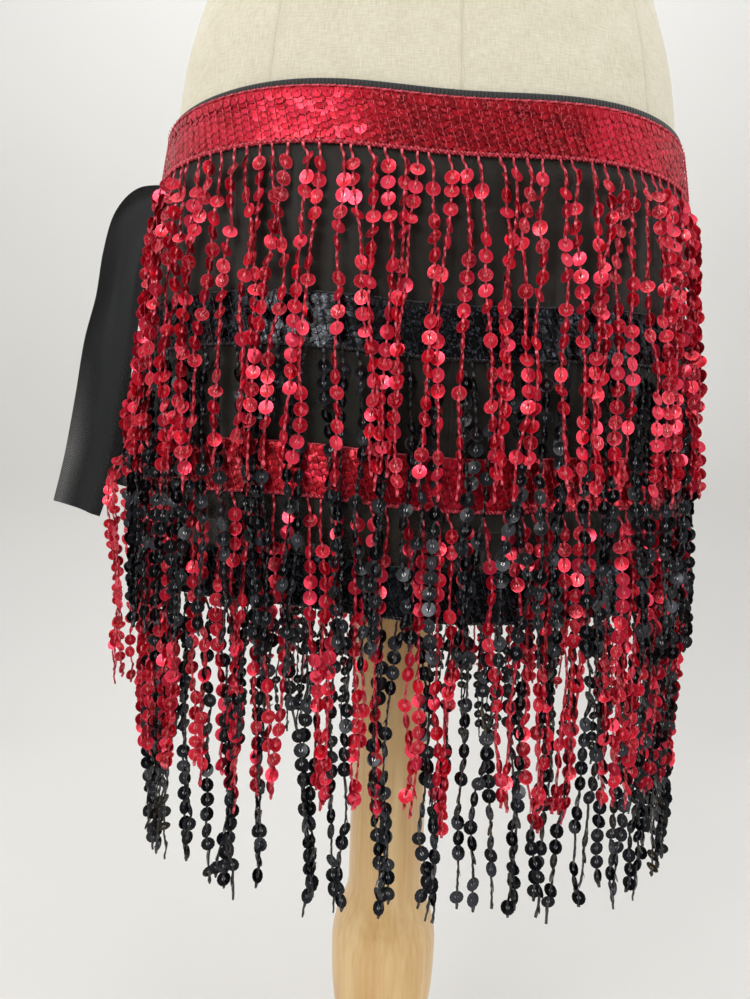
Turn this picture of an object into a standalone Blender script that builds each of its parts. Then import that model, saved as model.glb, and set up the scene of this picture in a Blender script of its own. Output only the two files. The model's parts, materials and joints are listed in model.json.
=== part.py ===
"""Belly dance hip skirt on a skirt form.

The wrap is one wall of sheer cloth round a linen hip form, with four sequin bands and four
fringes sewn on its outer face, and it ties at the left hip. The form stands on a turned
column and a round base. Metres, +Z up, the form's front faces -Y, origin under the base.
"""
import math

import bpy
import numpy as np
from mathutils import Vector

MM = 0.001

# Ring that the form, the cloth and all that is sewn to it share
COLUMNS = 56                # flat columns round the whole ring
OPEN_COLUMNS = 3            # columns left open at the left hip, where the wrap ties
CLOTH_COLUMNS = COLUMNS - OPEN_COLUMNS
START_ANGLE = math.radians(-103)    # front end of the wrap, 0 is the front, + turns to +X
SQUARENESS = 2.4            # exponent of the oval section
RING_SAMPLES = 1440
HIP = (173, 118)            # half width and half depth where the columns are evenly spaced
FORM_SHIFT = 8 * MM         # the form sits this far to +X of the column

# Skirt form: height, half width, half depth, in mm
FORM_SECTIONS = (
    (528, 163, 109),
    (531, 168, 113.5),
    (540, 171, 116),
    (571, 173, 118),
    (622.2, 172.5, 118),
    (651.8, 171.5, 118),
    (700, 169.5, 117),
    (729, 166, 115.8),
    (757.5, 161.5, 113.3),
    (803, 155.5, 107.5),
    (853, 141, 98),
    (890, 128.5, 90.5),
    (926, 121.5, 86),
    (935, 118.5, 83.5),
    (939, 111, 77),
)

# Outer face of the wrap's cloth: height, half width, half depth, in mm
CLOTH_SECTIONS = (
    (480, 175.5, 122),
    (509.8, 176, 122),
    (541.4, 176.5, 122),
    (571, 176.5, 122),
    (622.2, 175.5, 122.5),
    (651.8, 173.6, 121.5),
    (700, 171.5, 119),
    (729, 167.9, 117.7),
    (757.5, 163.4, 115.2),
)
CLOTH_WALL = 1.2 * MM
SEAM = 0.3 * MM             # gap between sewn pieces
TILT = 0.02                 # the wrap is worn a little lower at its +X side
RISE = 2.3 * MM             # and rides up between the front, the sides and the back
RISE_TURN = math.radians(8)
FOLD_DEPTH = 1.6 * MM       # soft folds near the hem
FOLD_TURNS = (7, 12)        # folds round the ring, as two waves
FOLD_TOP = 640 * MM
FOLD_FULL = 530 * MM
FLARE = 17 * MM             # the free front edge springs out at the third band
BACK_FLARE = 10 * MM
FLARE_COLUMNS = 5
FLARE_TOP = 662 * MM
FLARE_KEPT = 541.4 * MM     # below this the cloth turns in again and the strands hang free
FLARE_END = 480 * MM
LIFT = 30 * MM              # and its corner is drawn up towards the knot
LIFT_COLUMNS = 6
LIFT_TOP = 651.8 * MM
LIFT_FULL = 541.4 * MM

# Sequin bands and the fringe below each: top, bottom, strand tips, in mm
TIERS = (
    (757.5, 729.0, 552.0),
    (651.8, 622.2, 456.0),
    (571.0, 541.4, 370.0),
    (509.8, 480.0, 313.0),
)
BAND_WALL = 2.0 * MM
BINDING_HEIGHT = 4.0 * MM
BINDING_PROUD = 1.3 * MM
STRIP_HEIGHT = 4.0 * MM     # woven heading that the strands hang from
STRAND_SHARE = 0.3          # a strand's width as a share of its column
STRAND_START = (0.35, 0.0)  # where a strand starts in its column, for odd and even tiers
STRAND_WALL = 2.6 * MM
OVER_BAND = 2.7 * MM        # how far out a strand hangs over the next band
OVER_HEADING = 4.4 * MM     # where the next fringe starts under it
OVER_FRINGE = 7.5 * MM      # and over the next fringe at its tip
TIP_SPREAD = 4.0 * MM       # uneven strand ends

# Knot and tails at the left hip, in mm
KNOT_HEIGHT = 746
KNOT_RADII = (20, 15, 17)   # along the hip, out from it, and up
LEAD_HEIGHTS = (22, 13)     # at the cloth and at the knot
LEAD_WALL = 3.0
LEAD_STEPS = 3
KNOT_GRIP = 0.88            # where a lead meets the knot, as a share of its radius
TAIL_WALL = 1.6
FRONT_TAIL = (              # x, y, z, width, from the knot's outer side
    (-169.8, 72.4, 747, 17),
    (-184, 73, 754, 23),
    (-199, 73, 751, 29),
    (-211, 73, 736, 34),
    (-219, 73, 711, 37),
    (-225, 73, 680, 40),
    (-231, 73, 640, 42),
    (-237, 73, 600, 44),
    (-245, 73, 560, 46),
    (-252, 73, 522, 46),
)
BACK_TAIL = (               # from under the knot
    (-158, 69, 728.5, 15),
    (-165, 72, 712, 21),
    (-180, 77, 680, 27),
    (-193, 81, 640, 31),
    (-204, 84, 595, 34),
    (-212, 86, 548, 37),
)
TAIL_FOLDS = (0.0, 4.5, -2.5, 3.5, -4.0, 1.5, 0.0)     # zigzag across the width, mm
FOLD_ROOT = 0.35            # share of the folds' depth at the knot

# Turned column and base: height, radius, in mm
COLUMN_PROFILE = (
    (20.3, 40), (27, 40), (33, 34), (41, 27), (56, 25.5), (135, 29), (157, 34.3),
    (185, 37.4), (210, 38), (227, 35.5), (239, 31), (248, 28), (255, 27), (527.7, 27),
)
COLUMN_SIDES = 24
BASE_PROFILE = ((0, 148), (2, 150), (14, 150), (20, 144))
BASE_SIDES = 48

# Surface of each material: colour, roughness
LINEN = ((0.70, 0.64, 0.52, 1), 0.9)
WOOD = ((0.72, 0.44, 0.22, 1), 0.45)
CHIFFON = ((0.02, 0.02, 0.022, 1), 0.7)
RED_SEQUIN = ((0.55, 0.005, 0.03, 1), 0.25)
BLACK_SEQUIN = ((0.008, 0.008, 0.012, 1), 0.2)
SEQUIN_METALLIC = 0.6


def clear_scene():
    for item in list(bpy.data.objects):
        bpy.data.objects.remove(item, do_unlink=True)


def material(name, surface, metallic=0.0):
    made = bpy.data.materials.new(name)
    made.use_nodes = True
    shader = made.node_tree.nodes["Principled BSDF"]
    shader.inputs["Base Color"].default_value = surface[0]
    shader.inputs["Roughness"].default_value = surface[1]
    shader.inputs["Metallic"].default_value = metallic
    return made


def add_object(name, points, faces, surface):
    mesh = bpy.data.meshes.new(name)
    mesh.from_pydata([tuple(point) for point in points], [], faces)
    mesh.materials.append(surface)
    made = bpy.data.objects.new(name, mesh)
    bpy.context.collection.objects.link(made)
    return made


def smooth_step(value, low, high):
    """0 at low and 1 at high, with a soft start and end."""
    share = min(max((value - low) / (high - low), 0.0), 1.0)
    return share * share * (3 - 2 * share)


def oval_radius(angle, half_width, half_depth):
    across = abs(math.sin(angle) / half_width) ** SQUARENESS
    along = abs(math.cos(angle) / half_depth) ** SQUARENESS
    return (across + along) ** (-1 / SQUARENESS)


def column_angles():
    """Polar angles of the column edges, evenly spaced along the hip ring."""
    angles = START_ANGLE + np.linspace(0, 2 * math.pi, RING_SAMPLES + 1)
    radii = np.array([oval_radius(angle, *HIP) for angle in angles])
    ring = np.stack([radii * np.sin(angles), -radii * np.cos(angles)], axis=1)
    steps = np.linalg.norm(np.diff(ring, axis=0), axis=1)
    length = np.concatenate([[0.0], np.cumsum(steps)])
    even = np.linspace(0, length[-1], COLUMNS + 1)
    return np.interp(even, length, angles)


ANGLES = column_angles()


def section_at(height, sections):
    """Half width and half depth in metres at a height in metres."""
    heights = [row[0] * MM for row in sections]
    half_width = np.interp(height, heights, [row[1] * MM for row in sections])
    half_depth = np.interp(height, heights, [row[2] * MM for row in sections])
    return half_width, half_depth


def oval_normal(angle, radius, half_width, half_depth):
    x = radius * math.sin(angle)
    y = -radius * math.cos(angle)
    power = SQUARENESS - 1
    normal = Vector((
        math.copysign(abs(x / half_width) ** power / half_width, x),
        math.copysign(abs(y / half_depth) ** power / half_depth, y),
        0.0,
    ))
    return normal.normalized()


def ring_point(column, height, sections, out):
    """Point on an oval section at a column edge, moved out along its normal."""
    angle = ANGLES[column % COLUMNS]
    half_width, half_depth = section_at(height, sections)
    radius = oval_radius(angle, half_width, half_depth)
    place = Vector((radius * math.sin(angle), -radius * math.cos(angle), height))
    place += out * oval_normal(angle, radius, half_width, half_depth)
    return place + Vector((FORM_SHIFT, 0, 0))


def corner_share(column, height):
    """How far a point takes part in the flare at the front and back end, and in the lift."""
    bulge = 1 - smooth_step(height, FLARE_KEPT, FLARE_TOP)
    bulge *= smooth_step(height, FLARE_END, FLARE_KEPT)
    front = (1 - smooth_step(column, 0, FLARE_COLUMNS)) * bulge
    back = smooth_step(column, CLOTH_COLUMNS - FLARE_COLUMNS, CLOTH_COLUMNS) * bulge
    lift = 1 - smooth_step(column, 0, LIFT_COLUMNS)
    return front, back, lift * (1 - smooth_step(height, LIFT_FULL, LIFT_TOP))


def fold_share(column, height):
    down = 1 - smooth_step(height, FOLD_FULL, FOLD_TOP)
    turn = 2 * math.pi * column / COLUMNS
    waves = 0.6 * math.sin(FOLD_TURNS[0] * turn) + 0.4 * math.sin(FOLD_TURNS[1] * turn + 1)
    return waves * down


def hang_row(column, height, out, kept=0.0):
    """Point of the wrap's outer face at a column edge and a row, moved out by a distance.

    Below the kept height the flare stays as it is there, as for a strand that hangs free.
    """
    side = ring_point(column, height, CLOTH_SECTIONS, 0.0).x - FORM_SHIFT
    rise = RISE * (1 - math.cos(4 * (ANGLES[column] - RISE_TURN)))
    front, back, lift = corner_share(column, max(height, kept))
    out += FOLD_DEPTH * fold_share(column, height) + FLARE * front + BACK_FLARE * back
    place = ring_point(column, height - TILT * side + rise, CLOTH_SECTIONS, out)
    place.z += LIFT * lift
    return place


def hang_edge(column, height, out, kept=0.0):
    """The same at any height, straight between the two nearest rows of the cloth."""
    rows = [row[0] * MM for row in CLOTH_SECTIONS]
    if height <= rows[0] or height >= rows[-1]:
        return hang_row(column, height, out, kept)
    above = next(index for index, row in enumerate(rows) if row >= height)
    share = (height - rows[above - 1]) / (rows[above] - rows[above - 1])
    low = hang_row(column, rows[above - 1], out, kept)
    return low.lerp(hang_row(column, rows[above], out, kept), share)


def hang_point(column, height, out, kept=0.0):
    """The same at any place along the flat between two column edges."""
    low = min(int(math.floor(column)), CLOTH_COLUMNS - 1)
    share = column - low
    if share < 1e-9:
        return hang_edge(low, height, out, kept)
    high = hang_edge(low + 1, height, out, kept)
    return hang_edge(low, height, out, kept).lerp(high, share)


def wall(name, heights, inner, outer, surface):
    """Closed wall along the whole wrap, between two distances from the cloth's face."""
    rows = len(heights)
    points = []
    for column in range(CLOTH_COLUMNS + 1):
        for height in heights:
            points.append(hang_point(column, height, inner))
            points.append(hang_point(column, height, outer))

    def at(column, row, side):
        return (column * rows + row) * 2 + side

    faces = []
    for column in range(CLOTH_COLUMNS):
        after = column + 1
        for row in range(rows - 1):
            up = row + 1
            faces.append((at(column, row, 1), at(after, row, 1), at(after, up, 1), at(column, up, 1)))
            faces.append((at(column, row, 0), at(column, up, 0), at(after, up, 0), at(after, row, 0)))
        top = rows - 1
        faces.append((at(column, top, 0), at(column, top, 1), at(after, top, 1), at(after, top, 0)))
        faces.append((at(column, 0, 0), at(after, 0, 0), at(after, 0, 1), at(column, 0, 1)))
    last = CLOTH_COLUMNS
    for row in range(rows - 1):
        up = row + 1
        faces.append((at(0, row, 0), at(0, row, 1), at(0, up, 1), at(0, up, 0)))
        faces.append((at(last, row, 0), at(last, up, 0), at(last, up, 1), at(last, row, 1)))
    return add_object(name, points, faces, surface)


def make_cloth(surface):
    heights = [row[0] * MM for row in CLOTH_SECTIONS]
    wall("base_cloth", heights, -CLOTH_WALL, 0.0, surface)


def make_binding(surface):
    low = CLOTH_SECTIONS[-1][0] * MM + SEAM
    wall("waist_binding", [low, low + BINDING_HEIGHT], -CLOTH_WALL, BINDING_PROUD, surface)


def make_band(tier, surface):
    """Sequin tape on the cloth, with a row wherever the cloth below it bends."""
    top, bottom, _ = TIERS[tier]
    heights = [row[0] * MM for row in CLOTH_SECTIONS if bottom <= row[0] <= top]
    wall(f"band_{tier + 1}", heights, SEAM, SEAM + BAND_WALL, surface)


def strand_sections(tier, strand):
    """Height, inner and outer distance of a strand's rings below its heading."""
    hangs = tier < len(TIERS) - 1
    tip = TIERS[tier][2] * MM + TIP_SPREAD * math.sin(strand * 2.4 + tier)
    if not hangs:
        return [(tip, SEAM, SEAM + BAND_WALL)]
    root = TIERS[tier][1]
    band_top, band_low, _ = TIERS[tier + 1]
    sections = []
    for row in reversed(CLOTH_SECTIONS):
        if band_top < row[0] < root:
            share = (root - row[0]) / (root - band_top)
            out = SEAM + share * (OVER_BAND - SEAM)
            sections.append((row[0] * MM, out, out + STRAND_WALL))
    last = tier == len(TIERS) - 2
    below = OVER_BAND if last else OVER_HEADING
    tip_out = OVER_BAND if last else OVER_FRINGE
    sections.append((band_top * MM, OVER_BAND, OVER_BAND + STRAND_WALL))
    sections.append((band_low * MM, below, below + STRAND_WALL))
    for row in reversed(CLOTH_SECTIONS):
        height = row[0] * MM
        if max(tip, FLARE_KEPT) < height < band_low * MM:
            share = (band_low * MM - height) / (band_low * MM - tip)
            out = below + share * (tip_out - below)
            sections.append((height, out, out + STRAND_WALL))
    return sections + [(tip, tip_out, tip_out + STRAND_WALL)]


def make_fringe(tier, surface):
    """Strands that hang from one narrow heading, sewn just below a band or the hem."""
    is_hem = tier == len(TIERS) - 1
    top = TIERS[tier][1] * MM - SEAM
    low = top - STRIP_HEIGHT
    inner = -CLOTH_WALL if is_hem else SEAM
    outer = SEAM + BAND_WALL
    start = STRAND_START[tier % 2]
    kept = 0.0 if is_hem else FLARE_KEPT
    edges = []
    for column in range(CLOTH_COLUMNS):
        if start > 0:
            edges.append((column, False))
        edges.append((column + start, True))
        edges.append((column + start + STRAND_SHARE, False))
    edges.append((CLOTH_COLUMNS, False))

    points = []
    for place, _ in edges:
        for height in (low, top):
            points.append(hang_point(place, height, inner))
            points.append(hang_point(place, height, outer))
    faces = [(0, 1, 3, 2)]
    strand = 0
    for index, (place, is_strand) in enumerate(edges[:-1]):
        near = index * 4
        far = near + 4
        faces.append((near + 1, far + 1, far + 3, near + 3))
        faces.append((near, near + 2, far + 2, far))
        faces.append((near + 2, near + 3, far + 3, far + 2))
        if not is_strand:
            faces.append((near, far, far + 1, near + 1))
            continue
        ring = (near, far, far + 1, near + 1)
        after = edges[index + 1][0]
        for height, strand_in, strand_out in strand_sections(tier, strand):
            count = len(points)
            points.append(hang_point(place, height, strand_in, kept))
            points.append(hang_point(after, height, strand_in, kept))
            points.append(hang_point(after, height, strand_out, kept))
            points.append(hang_point(place, height, strand_out, kept))
            below = (count, count + 1, count + 2, count + 3)
            for side in range(4):
                turn = (side + 1) % 4
                faces.append((ring[side], ring[turn], below[turn], below[side]))
            ring = below
        faces.append(ring)
        strand += 1
    end = (len(edges) - 1) * 4
    faces.append((end, end + 2, end + 3, end + 1))
    add_object(f"fringe_{tier + 1}", points, faces, surface)


def make_form(surface):
    """Linen hip form: one smooth body from below the hip to the waist, closed at both ends."""
    points = []
    for height, _, _ in FORM_SECTIONS:
        for column in range(COLUMNS):
            points.append(ring_point(column, height * MM, FORM_SECTIONS, 0.0))
    faces = [tuple(range(COLUMNS))[::-1]]
    for row in range(len(FORM_SECTIONS) - 1):
        for column in range(COLUMNS):
            near = row * COLUMNS + column
            far = row * COLUMNS + (column + 1) % COLUMNS
            faces.append((near, far, far + COLUMNS, near + COLUMNS))
    last = (len(FORM_SECTIONS) - 1) * COLUMNS
    faces.append(tuple(range(last, last + COLUMNS)))
    add_object("form_torso", points, faces, surface)


def make_turned(name, profile, sides, surface):
    """Closed turned piece on the Z axis."""
    points = []
    for height, radius in profile:
        for side in range(sides):
            turn = 2 * math.pi * side / sides
            points.append((radius * MM * math.cos(turn), radius * MM * math.sin(turn), height * MM))
    faces = [tuple(range(sides))[::-1]]
    for row in range(len(profile) - 1):
        for side in range(sides):
            near = row * sides + side
            far = row * sides + (side + 1) % sides
            faces.append((near, far, far + sides, near + sides))
    last = (len(profile) - 1) * sides
    faces.append(tuple(range(last, last + sides)))
    add_object(name, points, faces, surface)


def knot_frame():
    """Centre of the knot, the way towards the wrap's front end, and the way out."""
    middle = CLOTH_COLUMNS + OPEN_COLUMNS // 2
    height = KNOT_HEIGHT * MM
    low = ring_point(middle, height, FORM_SECTIONS, 0.0)
    high = ring_point(middle + 1, height, FORM_SECTIONS, 0.0)
    along = (high - low).normalized()
    out = Vector((along.y, -along.x, 0))
    centre = (low + high) / 2 + out * (KNOT_RADII[1] * MM + CLOTH_WALL)
    return centre, along, out


def make_knot(surface):
    """Rounded knot with a shallow waist where the two ends cross."""
    centre, along, out = knot_frame()
    rings = 8
    sides = 14
    waist_depth = 0.12
    points = [centre - Vector((0, 0, KNOT_RADII[2] * MM))]
    for ring in range(1, rings):
        rise = math.pi * ring / rings
        for side in range(sides):
            turn = 2 * math.pi * side / sides
            pinch = 1 - waist_depth * math.cos(turn) ** 8 * math.sin(rise)
            step = along * (KNOT_RADII[0] * MM * math.cos(turn) * math.sin(rise) * pinch)
            step += out * (KNOT_RADII[1] * MM * math.sin(turn) * math.sin(rise))
            points.append(centre + step - Vector((0, 0, KNOT_RADII[2] * MM * math.cos(rise))))
    points.append(centre + Vector((0, 0, KNOT_RADII[2] * MM)))
    top = len(points) - 1
    faces = []
    for side in range(sides):
        turn = (side + 1) % sides
        faces.append((0, 1 + side, 1 + turn))
        for ring in range(rings - 2):
            near = 1 + ring * sides
            faces.append((near + side, near + sides + side, near + sides + turn, near + turn))
        last = 1 + (rings - 2) * sides
        faces.append((last + side, top, last + turn))
    add_object("tie_knot", points, faces, surface)


def loft(name, sections, surface):
    """Closed body through rings of points, each ring with the same count."""
    count = len(sections[0])
    points = [point for ring in sections for point in ring]
    faces = [tuple(range(count))]
    for row in range(len(sections) - 1):
        for side in range(count):
            near = row * count + side
            far = row * count + (side + 1) % count
            faces.append((near, near + count, far + count, far))
    last = (len(sections) - 1) * count
    faces.append(tuple(range(last, last + count))[::-1])
    return add_object(name, points, faces, surface)


def make_lead(name, from_front, surface):
    """Short gathered end of the binding that runs from the cloth into the knot."""
    centre, along, out = knot_frame()
    side = 1 if from_front else -1
    column = 0 if from_front else CLOTH_COLUMNS
    hold = centre + along * side * (KNOT_RADII[0] * MM * KNOT_GRIP + 2 * SEAM)
    root = []
    grip = []
    for far_out, rise in ((0, -1), (1, -1), (1, 1), (0, 1)):
        height = (KNOT_HEIGHT + rise * LEAD_HEIGHTS[0] / 2) * MM
        place = hang_edge(column, height, far_out * LEAD_WALL * MM - CLOTH_WALL)
        root.append(place - along * side * 2 * SEAM)
        step = out * (far_out - 0.5) * LEAD_WALL * MM
        grip.append(hold + step + Vector((0, 0, rise * LEAD_HEIGHTS[1] * MM / 2)))
    sections = []
    for step in range(LEAD_STEPS + 1):
        share = step / LEAD_STEPS
        ring = [near.lerp(far, share) for near, far in zip(root, grip)]
        sections.append(ring[::-1] if from_front else ring)
    loft(name, sections, surface)


def make_tail(name, path, surface):
    """Hanging end of the tie, folded in pleats along its length."""
    count = len(TAIL_FOLDS)
    last = len(path) - 1
    half_wall = Vector((0, TAIL_WALL * MM / 2, 0))
    sections = []
    for row, (x, y, z, width) in enumerate(path):
        before = path[max(row - 1, 0)]
        after = path[min(row + 1, last)]
        run = Vector((after[0] - before[0], 0, after[2] - before[2])).normalized()
        across = Vector((-run.z, 0, run.x))
        depth = FOLD_ROOT + (1 - FOLD_ROOT) * row / last
        front = []
        for index, fold in enumerate(TAIL_FOLDS):
            share = index / (count - 1) - 0.5
            place = Vector((x, y + fold * depth, z)) + across * (share * width)
            front.append(place * MM)
        ring = [place - half_wall for place in front]
        ring += [place + half_wall for place in reversed(front)]
        sections.append(ring)
    loft(name, sections, surface)


def main():
    clear_scene()
    linen = material("linen", LINEN)
    wood = material("wood", WOOD)
    chiffon = material("chiffon", CHIFFON)
    sequins = (
        material("red_sequin", RED_SEQUIN, SEQUIN_METALLIC),
        material("black_sequin", BLACK_SEQUIN, SEQUIN_METALLIC),
    )
    make_turned("base_disc", BASE_PROFILE, BASE_SIDES, wood)
    make_turned("column", COLUMN_PROFILE, COLUMN_SIDES, wood)
    make_form(linen)
    make_cloth(chiffon)
    make_binding(chiffon)
    for tier in range(len(TIERS)):
        make_band(tier, sequins[tier % 2])
        make_fringe(tier, sequins[tier % 2])
    make_knot(chiffon)
    make_lead("tie_lead_front", True, chiffon)
    make_lead("tie_lead_back", False, chiffon)
    make_tail("tie_tail_front", FRONT_TAIL, chiffon)
    make_tail("tie_tail_back", BACK_TAIL, chiffon)


main()
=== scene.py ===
"""Looks of a belly dance hip skirt that is worn on a linen skirt form.

A wrap of sheer black cloth carries four bands of sequins. Under each band hangs a fringe of
threaded sequins. The wrap ties at the left hip. All sizes are in metres, +Z is up and the
form's front faces -Y.
"""

import json
import math

import bpy
import numpy as np
from mathutils import Matrix, Vector

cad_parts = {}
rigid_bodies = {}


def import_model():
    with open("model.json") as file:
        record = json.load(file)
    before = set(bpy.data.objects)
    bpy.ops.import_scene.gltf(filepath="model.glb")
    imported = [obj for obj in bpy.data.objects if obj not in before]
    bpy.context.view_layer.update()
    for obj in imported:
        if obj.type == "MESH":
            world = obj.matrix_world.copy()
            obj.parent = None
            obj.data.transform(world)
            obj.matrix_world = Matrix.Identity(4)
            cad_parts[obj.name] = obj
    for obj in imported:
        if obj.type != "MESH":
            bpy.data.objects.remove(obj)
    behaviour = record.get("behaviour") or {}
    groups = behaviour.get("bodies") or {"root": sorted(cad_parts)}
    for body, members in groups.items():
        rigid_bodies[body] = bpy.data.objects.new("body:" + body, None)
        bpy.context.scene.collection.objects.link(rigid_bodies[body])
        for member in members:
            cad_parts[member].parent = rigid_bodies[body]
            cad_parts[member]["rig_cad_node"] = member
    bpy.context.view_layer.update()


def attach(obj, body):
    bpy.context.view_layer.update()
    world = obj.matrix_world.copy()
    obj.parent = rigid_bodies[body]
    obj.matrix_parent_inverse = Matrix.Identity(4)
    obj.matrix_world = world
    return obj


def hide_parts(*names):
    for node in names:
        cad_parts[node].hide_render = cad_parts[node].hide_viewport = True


bl_info = {
    "name": "Sequin hip skirt",
    "version": (1, 0, 0),
    "blender": (4, 5, 0),
    "location": "View3D > Sidebar > Hip skirt",
    "description": "Builds a fringed sequin hip skirt on its skirt form",
    "category": "Add Mesh",
}

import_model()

MM = 0.001

# Ring that the form, the cloth and all that is sewn to it share
COLUMNS = 56
CLOTH_COLUMNS = 53
START_ANGLE = math.radians(-103)
SQUARENESS = 2.4
HIP = (0.173, 0.118)
FORM_SHIFT = 0.008
COLUMN_PITCH = 0.0187       # length of a column at the hip

# Height, half width and half depth
FORM_SECTIONS = np.array((
    (0.528, 0.163, 0.109), (0.531, 0.168, 0.1135), (0.540, 0.171, 0.116),
    (0.571, 0.173, 0.118), (0.6222, 0.1725, 0.118), (0.6518, 0.1715, 0.118),
    (0.700, 0.1695, 0.117), (0.729, 0.166, 0.1158), (0.7575, 0.1615, 0.1133),
    (0.803, 0.1555, 0.1075), (0.853, 0.141, 0.098), (0.890, 0.1285, 0.0905),
    (0.926, 0.1215, 0.086), (0.935, 0.1185, 0.0835), (0.939, 0.111, 0.077),
))
CLOTH_SECTIONS = np.array((
    (0.480, 0.1755, 0.122), (0.5098, 0.176, 0.122), (0.5414, 0.1765, 0.122),
    (0.571, 0.1765, 0.122), (0.6222, 0.1755, 0.1225), (0.6518, 0.1736, 0.1215),
    (0.700, 0.1715, 0.119), (0.729, 0.1679, 0.1177), (0.7575, 0.1634, 0.1152),
))
HEM = 0.480
WAIST = 0.7575
TILT = 0.02
RISE, RISE_TURN = 0.0023, math.radians(8)
FOLD_DEPTH = 0.0016
FOLD_TOP, FOLD_FULL = 0.640, 0.530
FLARE, BACK_FLARE, FLARE_COLUMNS = 0.026, 0.010, 4.5
FLARE_TOP, FLARE_KEPT, FLARE_END = 0.662, 0.5414, 0.480
LIFT, LIFT_COLUMNS, LIFT_TOP = 0.030, 6, 0.6518

# Sequin bands: top, bottom, and where the strands of their fringe end
TIERS = (
    (0.7575, 0.729, 0.552),
    (0.6518, 0.6222, 0.456),
    (0.571, 0.5414, 0.370),
    (0.5098, 0.480, 0.313),
)
OVER_BAND, OVER_HEADING, OVER_FRINGE = 0.0027, 0.0044, 0.0075

# Seams of the form's cover, as angles from its front
SEAM_ANGLES = (-173, -128, -83, -42, 7, 56, 97, 142)

# Knot and tails of the tie
KNOT = (-0.154, 0.067, 0.746)
KNOT_RADII = (0.020, 0.015, 0.017)
FRONT_TAIL = np.array((
    (-169.8, 72.4, 747, 17), (-184, 73, 754, 23), (-199, 73, 751, 29), (-211, 73, 736, 34),
    (-217.5, 73, 711, 35), (-222, 73, 680, 36), (-230, 73, 640, 41), (-236, 73, 600, 42),
    (-242.5, 73, 560, 44), (-256, 73, 513, 40),
)) * MM
BACK_TAIL = np.array((
    (-158, 69, 728.5, 15), (-165, 72, 712, 21), (-180, 77, 680, 27), (-193, 81, 640, 31),
    (-206, 84, 590, 36), (-219, 85, 530, 42),
)) * MM
TAIL_FOLDS = np.array((0.0, 2.0, 2.9, 1.9, -0.9, -3.2, -2.2)) * MM

# Turned column and base: height, radius
COLUMN_PROFILE = np.array((
    (20.3, 40), (27, 40), (33, 34), (41, 27), (56, 25.5), (135, 29), (157, 34.3),
    (185, 37.4), (210, 38), (227, 35.5), (239, 31), (248, 28), (255, 27), (527.7, 27),
)) * MM
BASE_RADIUS, BASE_HEIGHT = 0.150, 0.020


def colour(red, green, blue):
    """A colour picked in 0 to 255, as linear light."""
    shares = [value / 255 for value in (red, green, blue)]
    light = [x / 12.92 if x <= 0.04045 else ((x + 0.055) / 1.055) ** 2.4 for x in shares]
    return (*light, 1.0)


# ---------------------------------------------------------------- shapes

def smooth_step(value, low, high):
    share = np.clip((value - low) / (high - low), 0.0, 1.0)
    return share * share * (3 - 2 * share)


def curve_through(value, places, sizes):
    """Smooth curve through the sizes at those places, with no overshoot."""
    step = np.diff(places)
    rise = np.diff(sizes) / step
    product = rise[:-1] * rise[1:]
    total = np.where(product > 0, rise[:-1] + rise[1:], 1.0)
    inner = np.where(product > 0, 2 * product / total, 0.0)
    slope = np.concatenate([rise[:1], inner, rise[-1:]])
    value = np.clip(value, places[0], places[-1])
    cell = np.clip(np.searchsorted(places, value, side="right") - 1, 0, len(step) - 1)
    share = (value - places[cell]) / step[cell]
    other = 1 - share
    near = sizes[cell] * (1 + 2 * share) * other ** 2
    far = sizes[cell + 1] * (3 - 2 * share) * share ** 2
    bend = slope[cell] * other - slope[cell + 1] * share
    return near + far + step[cell] * share * other * bend


def section_at(height, sections):
    width = curve_through(height, sections[:, 0], sections[:, 1])
    depth = curve_through(height, sections[:, 0], sections[:, 2])
    return width, depth


def oval(angle, width, depth):
    """Point of an oval section and its way out, as x, y, out x, out y."""
    across = np.abs(np.sin(angle) / width) ** SQUARENESS
    along = np.abs(np.cos(angle) / depth) ** SQUARENESS
    radius = (across + along) ** (-1 / SQUARENESS)
    x = radius * np.sin(angle)
    y = -radius * np.cos(angle)
    out_x = np.sign(x) * np.abs(x / width) ** (SQUARENESS - 1) / width
    out_y = np.sign(y) * np.abs(y / depth) ** (SQUARENESS - 1) / depth
    length = np.hypot(out_x, out_y)
    return x, y, out_x / length, out_y / length


def ring_table():
    angles = START_ANGLE + np.linspace(0, 2 * math.pi, 1441)
    x, y, _, _ = oval(angles, *HIP)
    length = np.concatenate([[0.0], np.cumsum(np.hypot(np.diff(x), np.diff(y)))])
    return length / length[-1] * COLUMNS, angles


RING_COLUMNS, RING_ANGLES = ring_table()


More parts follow.
